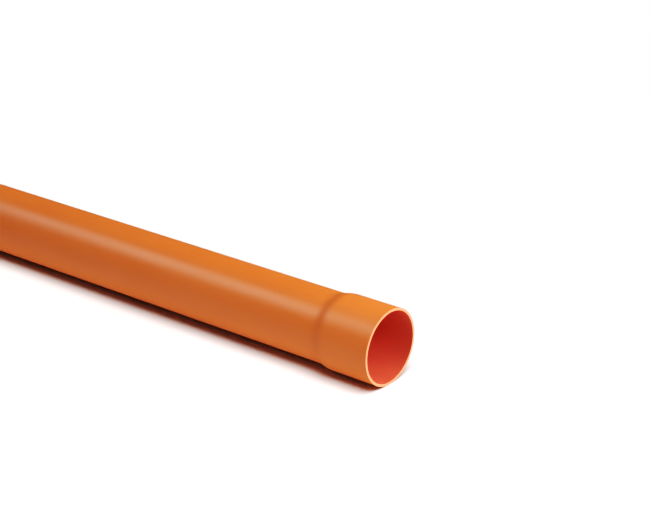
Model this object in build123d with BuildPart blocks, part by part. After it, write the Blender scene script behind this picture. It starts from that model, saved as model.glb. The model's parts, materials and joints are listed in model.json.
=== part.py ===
"""Rigid PVC drain pipe with one plain socket, lying on the floor along X.

The pipe is one extruded tube. One end has been heated and belled into a socket that
takes the next pipe's plain end, and the other end is that plain end, bevelled to enter.
The socket's mouth faces +X. Sizes are in millimetres.
"""

import math
import os

from build123d import *

# Driving dimensions of the stock tube
outside_diameter = 80.0
wall = 3.0
overall_length = 1000.0

# Driving dimensions of the belled socket
socket_clearance = 0.2
socket_wall = 2.8
socket_depth = 57.0
shoulder_length = 22.0

# Driving dimensions of the two cut ends
bevel_angle = 15.0
bevel_depth = 1.4
edge_break = 0.3

# Radii about the pipe's axis
barrel_radius = outside_diameter / 2
bore_radius = barrel_radius - wall
socket_bore_radius = barrel_radius + socket_clearance
socket_radius = socket_bore_radius + socket_wall
tip_radius = barrel_radius - bevel_depth

# Stations along the pipe, from the plain end to the mouth
mouth_x = overall_length / 2
socket_root_x = mouth_x - socket_depth
barrel_end_x = socket_root_x - shoulder_length
tip_x = mouth_x - overall_length
bevel_end_x = tip_x + bevel_depth / math.tan(math.radians(bevel_angle))

# The socket is the widest stretch, so it carries the pipe on the floor
axis_height = socket_radius
axis_point = (0, 0, axis_height)
section_plane = Plane(origin=axis_point, x_dir=(1, 0, 0), z_dir=(0, -1, 0))
pipe_axis = Axis(axis_point, (1, 0, 0))


def shoulder_curve(start, end):
    """Draws the S of a heat-formed shoulder: two equal arcs, level at both ends."""
    middle = ((start[0] + end[0]) / 2, (start[1] + end[1]) / 2)
    first = TangentArc(start, middle, tangent=(end[0] - start[0], 0))
    TangentArc(middle, end, tangent=first % 1)


with BuildPart() as pipe:
    # Half of the lengthwise section, above the axis
    with BuildSketch(section_plane):
        with BuildLine():
            # Outside, from the plain end to the mouth
            Line((tip_x, tip_radius), (bevel_end_x, barrel_radius))
            Line((bevel_end_x, barrel_radius), (barrel_end_x, barrel_radius))
            shoulder_curve((barrel_end_x, barrel_radius), (socket_root_x, socket_radius))
            Line((socket_root_x, socket_radius), (mouth_x, socket_radius))
            # Square cut across the mouth
            Line((mouth_x, socket_radius), (mouth_x, socket_bore_radius))
            # Inside, from the mouth back to the plain end
            Line((mouth_x, socket_bore_radius), (socket_root_x, socket_bore_radius))
            shoulder_curve((socket_root_x, socket_bore_radius), (barrel_end_x, bore_radius))
            Line((barrel_end_x, bore_radius), (tip_x, bore_radius))
            # Square cut across the plain end
            Line((tip_x, bore_radius), (tip_x, tip_radius))
        make_face()
    revolve(axis=pipe_axis)

    # The saw leaves sharp rims, which are broken by hand
    rims = pipe.edges().filter_by(GeomType.CIRCLE).group_by(Axis.X)
    chamfer(rims[0] + rims[-1], edge_break)

pipe.part.label = "pipe"

os.makedirs("parts", exist_ok=True)
export_step(pipe.part, "parts/pipe.step")
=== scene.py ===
"""Looks of a rigid PVC drain pipe: one belled tube of orange plastic, lying on a white floor.

Sizes are in metres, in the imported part's frame: +X runs along the pipe and out of the
socket's mouth, and +Z is up from the floor that the pipe lies on.
"""

import json
import math
from collections import namedtuple

import bpy
import numpy as np
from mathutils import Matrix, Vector


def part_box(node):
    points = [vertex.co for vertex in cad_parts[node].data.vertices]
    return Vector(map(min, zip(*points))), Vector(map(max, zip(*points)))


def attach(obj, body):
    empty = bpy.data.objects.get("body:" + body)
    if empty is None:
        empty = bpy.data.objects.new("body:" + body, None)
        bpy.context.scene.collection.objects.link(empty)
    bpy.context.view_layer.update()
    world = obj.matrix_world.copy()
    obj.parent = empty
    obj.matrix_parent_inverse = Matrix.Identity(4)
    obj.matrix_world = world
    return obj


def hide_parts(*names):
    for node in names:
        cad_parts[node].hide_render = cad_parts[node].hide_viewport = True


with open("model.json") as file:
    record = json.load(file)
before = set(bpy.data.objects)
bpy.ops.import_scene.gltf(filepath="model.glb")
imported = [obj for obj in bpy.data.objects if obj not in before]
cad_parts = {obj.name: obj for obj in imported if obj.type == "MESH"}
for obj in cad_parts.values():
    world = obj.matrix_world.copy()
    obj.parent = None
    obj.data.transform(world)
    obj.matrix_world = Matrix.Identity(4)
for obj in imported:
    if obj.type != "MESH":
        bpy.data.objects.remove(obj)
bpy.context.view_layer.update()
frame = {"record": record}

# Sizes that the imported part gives
mm_in_metre = 1000
pipe_low, pipe_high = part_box("pipe")
mounts = {mount["name"]: mount for mount in frame["record"]["mounts"]}


def radius_of(name):
    return mounts[name]["dims"]["r_mm"] / mm_in_metre


def length_of(name):
    return mounts[name]["dims"]["length_mm"] / mm_in_metre


axis_height = (pipe_low.z + pipe_high.z) / 2
socket_radius = axis_height - pipe_low.z
socket_bore_radius = radius_of("socket")
barrel_radius = radius_of("spigot")
bore_radius = radius_of("waterway")

# The two cut ends
edge_break = 0.0003
bevel_angle = math.radians(15)
bevel_blend = 0.002

# Stations along the pipe, from the plain end to the mouth
tip_x = pipe_low.x
mouth_x = pipe_high.x
barrel_end_x = tip_x + edge_break + length_of("waterway")
socket_root_x = mouth_x - edge_break - length_of("socket")
bevel_end_x = barrel_end_x - length_of("spigot")
tip_radius = barrel_radius - (bevel_end_x - tip_x) * math.tan(bevel_angle)

# Fineness of the mesh
segments_round = 256
longest_step = 0.05
shortest_run = 0.00001
steps_in_rounding = 8

# The lengthwise section is a closed outline of straight runs with rounded corners.
# A corner's bend is the radius of its rounding. face names the surface of that rounding,
# and run the surface of the straight run that follows it.
Corner = namedtuple("Corner", "x radius bend face run")


def shoulder(x_from, radius_from, x_to, radius_to, surface):
    """The two corners of a heat-formed shoulder: two equal arcs that meet halfway.

    Half of each arc's turn has the slope of the whole shoulder, rise over length.
    """
    length, rise = abs(x_to - x_from), abs(radius_to - radius_from)
    bend = (length**2 + rise**2) / (4 * rise)
    reach = math.copysign(bend * rise / length, x_to - x_from)
    return [
        Corner(x_from + reach, radius_from, bend, surface, surface),
        Corner(x_to - reach, radius_to, bend, surface, surface),
    ]


def section_corners():
    """Corners of the section: the plain end, the outside up to the mouth, and back along the bore."""
    return [
        Corner(tip_x, bore_radius, edge_break, "tip_cut", "tip_cut"),
        Corner(tip_x, tip_radius, edge_break, "tip_cut", "tip_cut"),
        Corner(bevel_end_x, barrel_radius, bevel_blend, "tip_cut", "skin"),
        *shoulder(barrel_end_x, barrel_radius, socket_root_x, socket_radius, "skin"),
        Corner(mouth_x, socket_radius, edge_break, "mouth_cut", "mouth_cut"),
        Corner(mouth_x, socket_bore_radius, edge_break, "mouth_cut", "bore"),
        *shoulder(socket_root_x, socket_bore_radius, barrel_end_x, bore_radius, "bore"),
    ]


# A rounding is the arc at one corner: its ends, its direction at the start and the angle it turns by.
# A station is one point of the outline, with its direction there and the surface that follows it.
Rounding = namedtuple("Rounding", "start end heading turn")
Station = namedtuple("Station", "place tangent surface")


def unit(vector):
    return vector / np.linalg.norm(vector)


def rounding_at(before, corner, after):
    """The rounding of one corner, between the corners before and after it."""
    point = np.array((corner.x, corner.radius))
    inward = unit(point - (before.x, before.radius))
    outward = unit((after.x, after.radius) - point)
    turn = math.atan2(inward[0] * outward[1] - inward[1] * outward[0], inward @ outward)
    reach = corner.bend * math.tan(abs(turn) / 2)
    return Rounding(point - inward * reach, point + outward * reach, inward, turn)


def rounding_stations(rounding, bend, surface):
    """Stations along a rounding, up to but not at its end."""
    side = np.array((-rounding.heading[1], rounding.heading[0])) * math.copysign(1, rounding.turn)
    centre = rounding.start + side * bend
    stations = []
    for step in range(steps_in_rounding):
        angle = rounding.turn * step / steps_in_rounding
        spin = np.array(((math.cos(angle), -math.sin(angle)), (math.sin(angle), math.cos(angle))))
        place = centre + spin @ (rounding.start - centre)
        stations.append(Station(place, spin @ rounding.heading, surface))
    return stations


def run_stations(start, end, heading, surface):
    """Stations along a straight run. There is no run, and no station, where two roundings meet."""
    length = np.linalg.norm(end - start)
    steps = math.ceil(length / longest_step) if length > shortest_run else 0
    return [Station(start + (end - start) * step / steps, heading, surface) for step in range(steps)]


def rounded_outline(corners):
    """Stations round the whole outline."""
    roundings = []
    for before, corner, after in zip(corners[-1:] + corners, corners, corners[1:] + corners[:1]):
        roundings.append(rounding_at(before, corner, after))
    stations = []
    for corner, rounding, following in zip(corners, roundings, roundings[1:] + roundings[:1]):
        stations += rounding_stations(rounding, corner.bend, corner.face)
        stations += run_stations(rounding.end, following.start, following.heading, corner.run)
    return stations


# Where each surface lies on the map of the mesh. The skin and the bore run across the map,
# and the two cut ends are strips along its upper edge.
Chart = namedtuple("Chart", "low high lengthwise")
charts = {
    "skin": Chart(low=0.005, high=0.455, lengthwise=True),
    "bore": Chart(low=0.470, high=0.920, lengthwise=True),
    "mouth_cut": Chart(low=0.935, high=0.960, lengthwise=False),
    "tip_cut": Chart(low=0.970, high=0.995, lengthwise=False),
}
surface_names = list(charts)

# One ring of points about the axis, and the share of a turn at each
turns = np.arange(segments_round + 1) / segments_round
angles = turns[:-1] * math.tau
ring = np.stack([np.zeros_like(angles), np.sin(angles), -np.cos(angles)], 1)
along = np.array((1.0, 0.0, 0.0))


def turned_points(stations):
    """A ring of points at each station."""
    centre = (0, 0, axis_height)
    return np.concatenate([x * along + radius * ring + centre for (x, radius), _, _ in stations])


def turned_normals(stations):
    """The exact outward direction at each point."""
    return np.concatenate([-dr * along + dx * ring for _, (dx, dr), _ in stations])


def turned_faces(rings):
    """Four-sided faces between each ring of points and the next."""
    here = np.arange(segments_round)
    beside = np.roll(here, -1)
    faces = []
    for i in range(rings):
        this, following = i * segments_round, (i + 1) % rings * segments_round
        faces.append(np.stack([this + here, this + beside, following + beside, following + here], 1))
    return np.concatenate(faces)


def travelled(stations):
    """The distance along the outline at each station, and at the outline's end."""
    places = np.array([station.place for station in stations])
    steps = np.linalg.norm(np.roll(places, -1, 0) - places, axis=1)
    return np.append(0, np.cumsum(steps))


def surface_spans(stations, travel):
    """The distances along the outline at which each surface starts and ends."""
    spans = {}
    for station, start, end in zip(stations, travel, travel[1:]):
        first, _ = spans.get(station.surface, (start, end))
        spans[station.surface] = (first, end)
    return spans


def ring_map(chart, start, end):
    """Places on the map of one ring of faces, from start to end of its surface, as shares."""
    first, last = np.full_like(angles, start), np.full_like(angles, end)
    travel = np.stack([first, first, last, last], 1)
    turn = np.stack([turns[:-1], turns[1:], turns[1:], turns[:-1]], 1)
    across, up = (travel, turn) if chart.lengthwise else (turn, travel)
    return np.stack([across, chart.low + (chart.high - chart.low) * up], 2)


def turned_map(stations):
    """Places on the map of the corners of all faces."""
    travel = travelled(stations)
    spans = surface_spans(stations, travel)
    mapped = []
    for station, start, end in zip(stations, travel, travel[1:]):
        low, high = spans[station.surface]
        chart = charts[station.surface]
        mapped.append(ring_map(chart, (start - low) / (high - low), (end - low) / (high - low)))
    return np.concatenate(mapped)


def turned_pipe(name, stations):
    """A closed mesh turned about the axis, with exact normals and a material slot for each surface."""
    mesh = bpy.data.meshes.new(name)
    mesh.from_pydata(turned_points(stations).tolist(), [], turned_faces(len(stations)).tolist())
    slots = [surface_names.index(station.surface) for station in stations]
    mesh.polygons.foreach_set("material_index", np.repeat(slots, segments_round).tolist())
    mesh.polygons.foreach_set("use_smooth", [True] * len(mesh.polygons))
    mesh.uv_layers.new(name="OFBake").uv.foreach_set("vector", turned_map(stations).ravel())
    mesh.update()
    mesh.normals_split_custom_set_from_vertices(turned_normals(stations).tolist())
    piece = bpy.data.objects.new(name, mesh)
    bpy.context.scene.collection.objects.link(piece)
    return piece


# Shader nodes. A Mix node has sockets for numbers and vectors too, so those for colours go by number.
mix_factor, mix_first, mix_second, mix_result = 0, 6, 7, 2


def node(tree, kind, inputs=None, **settings):
    """Adds a shader node. An input given as a socket is linked, and any other is set."""
    made = tree.nodes.new("ShaderNode" + kind)
    for name, value in settings.items():
        setattr(made, name, value)
    for name, value in (inputs or {}).items():
        if isinstance(value, bpy.types.NodeSocket):
            tree.links.new(value, made.inputs[name])
        else:
            made.inputs[name].default_value = value
    return made


def new_material(name):
    material = bpy.data.materials.new(name)
    material.use_nodes = True
    material.node_tree.nodes.clear()
    return material, material.node_tree


def object_place(tree):
    return node(tree, "TexCoord").outputs["Object"]


def grained(tree, place, grain):
    """Noise with its own number of grains to the metre along each axis."""
    scaled = node(tree, "VectorMath", {0: place, 1: grain.per_metre}, operation="MULTIPLY")
    settings = {
        "Vector": scaled.outputs[0],
        "Scale": 1.0,
        "Detail": grain.detail,
        "Roughness": grain.roughness,
    }
    return node(tree, "TexNoise", settings).outputs["Fac"]


def ranged(tree, value, span, result=(0.0, 1.0)):
    """A value's span spread over the result's, which holds past the span's ends."""
    settings = {
        "Value": value,
        "From Min": span[0],
        "From Max": span[1],
        "To Min": result[0],
        "To Max": result[1],
    }
    return node(tree, "MapRange", settings).outputs["Result"]


def mixed_colour(tree, factor, first, second):
    inputs = {mix_factor: factor, mix_first: first, mix_second: second}
    return node(tree, "Mix", inputs, data_type="RGBA").outputs[mix_result]


def calculate(tree, operation, first, second):
    return node(tree, "Math", {0: first, 1: second}, operation=operation).outputs[0]


def weighted(tree, first, second, share):
    """The sum of two values, with share of the second and the rest of the first."""
    kept = calculate(tree, "MULTIPLY", first, 1 - share)
    return calculate(tree, "ADD", kept, calculate(tree, "MULTIPLY", second, share))


def finish_material(tree, colour, roughness, height, depth):
    normal = node(tree, "Bump", {"Height": height, "Distance": depth}).outputs["Normal"]
    settings = {"Base Color": colour, "Roughness": roughness, "Normal": normal, "IOR": pvc_ior}
    shader = node(tree, "BsdfPrincipled", settings)
    node(tree, "OutputMaterial", {"Surface": shader.outputs[0]})


# Colours of the plastic, each surface with the two ends of its mottling
skin_light = (0.81, 0.201, 0.039, 1.0)
skin_deep = (0.77, 0.185, 0.035, 1.0)
skin_rubbed = (0.74, 0.26, 0.06, 1.0)
# Painted shade: the bore's pair is the skin's plastic made deeper and more crimson, as its shaded inside
# looks
bore_painted_shade_pale = (0.78, 0.150, 0.084, 1.0)
bore_painted_shade_deep = (0.74, 0.137, 0.077, 1.0)
cut_pale = (0.92, 0.315, 0.152, 1.0)
cut_tan = (0.84, 0.248, 0.110, 1.0)

# Gloss, with what a rub and the forming of the socket add to the skin's roughness
pvc_ior = 1.53
skin_roughness = (0.38, 0.44)
bore_roughness = (0.30, 0.37)
cut_roughness = (0.50, 0.68)
rub_roughness = 0.12
formed_roughness = 0.02

# Depth of relief that a texture's whole range gives
skin_relief = 0.00003
bore_relief = 0.00004
cut_relief = 0.00006

# Textures, by their grains to the metre along each axis. The turned end's first two are along
# the pipe and out from its axis.
Grain = namedtuple("Grain", "per_metre detail roughness", defaults=(2.0, 0.5))
die_lines = Grain((3.0, 420.0, 420.0), 3.0, 0.6)
mottling = Grain((7.0, 18.0, 18.0), 3.0)
orange_peel = Grain((900.0, 900.0, 900.0), 1.0)
rubs = Grain((22.0, 240.0, 240.0))
mandrel_rings = Grain((1100.0, 25.0, 25.0), 2.0, 0.6)
saw_strokes = Grain((60.0, 60.0, 1900.0), 3.0, 0.65)
tool_rings = Grain((1900.0, 1900.0, 1.0), 3.0, 0.65)
speckle = Grain((700.0, 700.0, 700.0))

# Parts of a texture's range that are used, and shares in its mixtures
tone_span = (0.35, 0.65)
gloss_span = (0.3, 0.7)
rub_span = (0.66, 0.78)
lines_in_tone = 0.35
rubs_in_colour = 0.15
peel_in_relief = 0.2
speckle_in_cut = 0.4


def formed_share(tree, place):
    """Nothing on the barrel and one on the socket, which was heated and belled."""
    x = node(tree, "SeparateXYZ", {0: place}).outputs["X"]
    return ranged(tree, x, (barrel_end_x, socket_root_x))


def pipe_skin():
    """The outside: fine die lines along the pipe, soft mottling, orange peel and a few faint rubs."""
    material, tree = new_material("pvc_skin")
    place = object_place(tree)
    lines = grained(tree, place, die_lines)
    clouds = grained(tree, place, mottling)
    peel = grained(tree, place, orange_peel)
    rubbed = ranged(tree, grained(tree, place, rubs), rub_span)
    tone = ranged(tree, weighted(tree, clouds, lines, lines_in_tone), tone_span)
    colour = mixed_colour(tree, tone, skin_deep, skin_light)
    colour = mixed_colour(tree, calculate(tree, "MULTIPLY", rubbed, rubs_in_colour), colour, skin_rubbed)
    roughness = ranged(tree, clouds, gloss_span, skin_roughness)
    for share, added in ((rubbed, rub_roughness), (formed_share(tree, place), formed_roughness)):
        roughness = calculate(tree, "ADD", roughness, calculate(tree, "MULTIPLY", share, added))
    finish_material(tree, colour, roughness, weighted(tree, lines, peel, peel_in_relief), skin_relief)
    return material


def pipe_bore():
    """The inside: die lines in the barrel, the rings of the forming mandrel in the socket, and colours
    with painted shade.
    """
    material, tree = new_material("pvc_bore")
    place = object_place(tree)
    lines = grained(tree, place, die_lines)
    rings = grained(tree, place, mandrel_rings)
    clouds = grained(tree, place, mottling)
    tone = ranged(tree, weighted(tree, clouds, lines, lines_in_tone), tone_span)
    # Painted shade in the bore's colours, deeper and more crimson than the skin's
    colour = mixed_colour(tree, tone, bore_painted_shade_deep, bore_painted_shade_pale)
    roughness = ranged(tree, clouds, gloss_span, bore_roughness)
    change = calculate(tree, "SUBTRACT", rings, lines)
    change = calculate(tree, "MULTIPLY", change, formed_share(tree, place))
    finish_material(tree, colour, roughness, calculate(tree, "ADD", lines, change), bore_relief)
    return material


def round_the_axis(tree, place):
    """Each point's place along the pipe and its distance from the axis, so that noise makes rings."""
    centre, crosswise = (0, 0, axis_height), (0, 1, 1)
    from_axis = node(tree, "VectorMath", {0: place, 1: centre}, operation="SUBTRACT").outputs[0]
    across = node(tree, "VectorMath", {0: from_axis, 1: crosswise}, operation="MULTIPLY").outputs[0]
    radius = node(tree, "VectorMath", {0: across}, operation="LENGTH").outputs["Value"]
    x = node(tree, "SeparateXYZ", {0: place}).outputs["X"]
    return node(tree, "CombineXYZ", {"X": x, "Y": radius}).outputs[0]


def saw_marks(tree, place):
    """Straight marks across the end."""
    return grained(tree, place, saw_strokes)


def turning_marks(tree, place):
    """Fine rings on the bevel and the end."""
    return grained(tree, round_the_axis(tree, place), tool_rings)


def cut_plastic(name, tool_marks):
    """A cut end: paler than the skin and dull, with a speckle and the marks that its tool left."""
    material, tree = new_material(name)
    place = object_place(tree)
    marks = tool_marks(tree, place)
    tone = weighted(tree, marks, grained(tree, place, speckle), speckle_in_cut)
    colour = mixed_colour(tree, ranged(tree, tone, tone_span), cut_tan, cut_pale)
    finish_material(tree, colour, ranged(tree, marks, gloss_span, cut_roughness), tone, cut_relief)
    return material


# The pipe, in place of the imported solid
surfaces = {
    "skin": pipe_skin(),
    "bore": pipe_bore(),
    "mouth_cut": cut_plastic("pvc_sawn_mouth", saw_marks),
    "tip_cut": cut_plastic("pvc_turned_tip", turning_marks),
}

pipe = turned_pipe("pvc_pipe", rounded_outline(section_corners()))
for name in surface_names:
    pipe.data.materials.append(surfaces[name])
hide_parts("pipe")
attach(pipe, "root")

# Studio: the floor, a wall round it, and a card in the mouth. picture_white is the brightness that
# shows as white, and card_fade is half the height of the card's soft edge.
picture_white = 1.55
white = (1.0, 1.0, 1.0, 1.0)
floor_half = 12.0
floor_drop = 0.0002
floor_white = (0.9, 0.9, 0.9, 1.0)
# Painted shade on the floor: darker along the barrel than its white at the mouth
floor_painted_shade = (0.79, 0.79, 0.79, 1.0)
floor_shade_length = 0.3
wall_height = 8.0
card_black = (0.02, 0.02, 0.02, 1.0)
card_sides = 48
card_fade = 0.020


def floor_paint(tree):
    """White at the mouth and darker along the barrel: painted shade, so that the floor lights the barrel
    less.
    """
    x = node(tree, "SeparateXYZ", {0: object_place(tree)}).outputs["X"]
    whiteness = ranged(tree, x, (mouth_x - floor_shade_length, mouth_x))
    colour = mixed_colour(tree, whiteness, floor_painted_shade, floor_white)
    return node(tree, "BsdfDiffuse", {"Color": colour}).outputs[0]


def wall_glow(tree):
    return node(tree, "Emission", {"Color": white, "Strength": picture_white}).outputs[0]


def fading_black(tree):
    """Black below the pipe's axis and clear above it, with a soft edge between them."""
    height = node(tree, "SeparateXYZ", {0: object_place(tree)}).outputs["Z"]
    clear_share = ranged(tree, height, (axis_height - card_fade, axis_height + card_fade))
    black = node(tree, "BsdfDiffuse", {"Color": card_black}).outputs[0]
    clear = node(tree, "BsdfTransparent").outputs[0]
    return node(tree, "MixShader", {0: clear_share, 1: black, 2: clear}).outputs[0]


def studio_piece(name, corners, faces, surface):
    """A plain piece of the studio, which doesn't show in the pipe's gloss. surface makes its shader."""
    mesh = bpy.data.meshes.new(name)
    mesh.from_pydata(corners, [], faces)
    material, tree = new_material(name)
    node(tree, "OutputMaterial", {"Surface": surface(tree)})
    mesh.materials.append(material)
    made = bpy.data.objects.new(name, mesh)
    made.visible_glossy = False
    bpy.context.scene.collection.objects.link(made)
    return made


def square(half, height):
    return [(-half, -half, height), (half, -half, height), (half, half, height), (-half, half, height)]


def white_floor():
    """A wide matt floor."""
    return studio_piece("floor", square(floor_half, -floor_drop), [(0, 1, 2, 3)], floor_paint)


def white_wall():
    """Four walls at the floor's edges, as white as the floor. They light nothing and shade nothing."""
    corners = square(floor_half, -floor_drop) + square(floor_half, wall_height)
    faces = [(0, 1, 5, 4), (1, 2, 6, 5), (2, 3, 7, 6), (3, 0, 4, 7)]
    wall = studio_piece("wall", corners, faces, wall_glow)
    wall.visible_diffuse = False
    wall.visible_shadow = False
    wall.active_material.cycles.emission_sampling = "NONE"


def dark_card():
    """A card over the lower half of the mouth, unseen, which keeps the floor's light out of the bore."""
    x, radius = mouth_x - edge_break, socket_bore_radius
    reach = math.pi / 2 + math.asin(card_fade / radius)
    corners = []
    for angle in np.linspace(-reach, reach, card_sides):
        corners.append((x, radius * math.sin(angle), axis_height - radius * math.cos(angle)))
    card = studio_piece("card", corners, [tuple(range(card_sides))], fading_black)
    card.visible_camera = False
    card.visible_shadow = False


# Light and camera
def lamp(light, lit, place, aim):
    """Hangs a light at its place. It lights only the pieces in lit."""
    made = bpy.data.objects.new(light.name, light)
    made.location = place
    made.rotation_euler = (Vector(aim) - Vector(place)).to_track_quat("-Z", "Y").to_euler()
    bpy.context.scene.collection.objects.link(made)
    made.light_linking.receiver_collection = lit
    return made


def softbox(name, lit, place, aim, size, watts):
    """A flat lamp. Without multiple importance sampling all its light gets past the card."""
    light = bpy.data.lights.new(name, "AREA")
    light.shape = "RECTANGLE"
    light.size, light.size_y = size
    light.energy = watts
    light.cycles.use_multiple_importance_sampling = False
    return lamp(light, lit, place, aim)


def far_light(name, lit, side, brightness, spread):
    """Even light from the given side, in a cone of the given spread."""
    light = bpy.data.lights.new(name, "SUN")
    light.energy, light.angle = brightness * math.pi, spread
    return lamp(light, lit, side, (0, 0, 0))


def lit_group(name, piece):
    made = bpy.data.collections.new(name)
    made.objects.link(piece)
    return made


def white_world(strength):
    world = bpy.data.worlds.new("studio")
    world.use_nodes = True
    tree = world.node_tree
    tree.nodes.clear()
    background = node(tree, "Background", {"Color": white, "Strength": strength})
    node(tree, "OutputWorld", {"Surface": background.outputs[0]})
    bpy.context.scene.world = world


def camera(place, heading, dip, lens):
    """A level camera. Its heading is turned from +X towards +Y, and it looks down by its dip."""
    data = bpy.data.cameras.new("camera")
    data.lens = lens
    view = bpy.data.objects.new("camera", data)
    view.location = place
    view.rotation_euler = (math.pi / 2 - dip, 0, heading - math.pi / 2)
    bpy.context.scene.collection.objects.link(view)
    bpy.context.scene.camera = view


def contrast_curve(points):
    """A picture response with deep shadows and a clean white, through points that are shares of white."""
    view = bpy.context.scene.view_settings
    view.view_transform = "Standard"
    view.use_curve_mapping = True
    mapping = view.curve_mapping
    mapping.white_level = (picture_white, picture_white, picture_white)
    all_channels = mapping.curves[3]
    for scene_share, picture_share in points:
        all_channels.points.new(scene_share, picture_share)
    mapping.update()


floor = white_floor()
white_wall()
dark_card()
on_floor = lit_group("lit_floor", floor)
on_pipe = lit_group("lit_pipe", pipe)

# The right lamp doesn't show in the gloss, and the glint shows only there
white_world(strength=0.062)
far_light("floor_light", on_floor, side=(1.2, -0.58, 3.0), brightness=2.08, spread=math.radians(42))
softbox("top", on_pipe, place=(0.6, 0.0, 1.8), aim=(0.4, 0, 0.04), size=(1.6, 1.6), watts=25.0)
right = softbox("right", on_pipe, place=(3.8, 0.9, 1.6), aim=(0.4, 0, 0.04), size=(2.0, 2.0), watts=246)
right.visible_glossy = False
softbox("right_front", on_pipe, place=(1.7, -0.5, 1.1), aim=(0.45, 0, 0.04), size=(0.9, 0.9), watts=13.0)
softbox("back", on_pipe, place=(0.5, 1.6, 1.2), aim=(0.2, 0, 0.04), size=(1.6, 1.0), watts=12.5)
overhead, below = (-3.75, -2.75, 4.5), (-3.75, -2.75, 0)
glint = softbox("glint", on_pipe, place=overhead, aim=below, size=(2.9, 3.6), watts=235)
glint.visible_diffuse = False

camera(
    place=(1.4063, -1.2488, 0.7808),
    heading=math.radians(128.517),
    dip=math.radians(22.700),
    lens=90.33,
)
response = [(0.0325, 0.018), (0.064, 0.042), (0.128, 0.122), (0.383, 0.48), (0.697, 0.74)]
contrast_curve(response)
